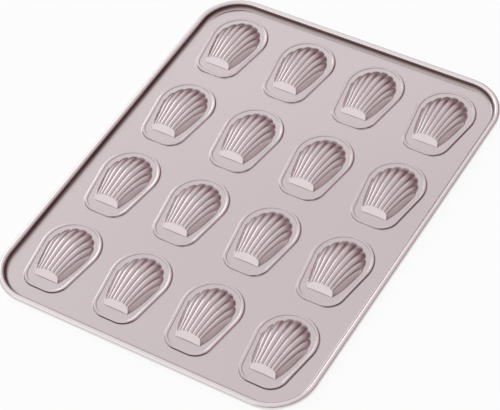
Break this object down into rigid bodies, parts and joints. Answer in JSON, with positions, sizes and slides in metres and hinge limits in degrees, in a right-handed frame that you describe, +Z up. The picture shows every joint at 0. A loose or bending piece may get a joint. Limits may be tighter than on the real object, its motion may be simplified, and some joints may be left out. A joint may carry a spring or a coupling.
{
  "type": "madeleine pan",
  "caption": "Rectangular baking sheet pressed with rows of fluted shell moulds, each inside a raised outline, with a rolled wire edge; shown with its flat side down and the shells standing up.",
  "frame": {"origin": "middle of the pan's outline, on the plane its flat side rests on", "axes": "+Z up out of the flat side towards the standing shells, +Y along the long side towards the shells' fan ends, +X across the pan"},
  "size_m": [0.28, 0.355, 0.0093],
  "materials": {
    "coated_steel": "satin rose-champagne non-stick coating on steel sheet",
    "wire_steel": "drawn steel wire, hidden inside the rolled edge"
  },
  "bodies": {
    "root": {"deck": "coated_steel", "rolled_rim": "coated_steel", "rim_wire": "wire_steel", "shell_mould_r1_c1": "coated_steel", "shell_mould_r1_c2": "coated_steel", "shell_mould_r1_c3": "coated_steel", "shell_mould_r1_c4": "coated_steel", "shell_mould_r2_c1": "coated_steel", "shell_mould_r2_c2": "coated_steel", "shell_mould_r2_c3": "coated_steel", "shell_mould_r2_c4": "coated_steel", "shell_mould_r3_c1": "coated_steel", "shell_mould_r3_c2": "coated_steel", "shell_mould_r3_c3": "coated_steel", "shell_mould_r3_c4": "coated_steel", "shell_mould_r4_c1": "coated_steel", "shell_mould_r4_c2": "coated_steel", "shell_mould_r4_c3": "coated_steel", "shell_mould_r4_c4": "coated_steel"}
  },
  "joints": []
}
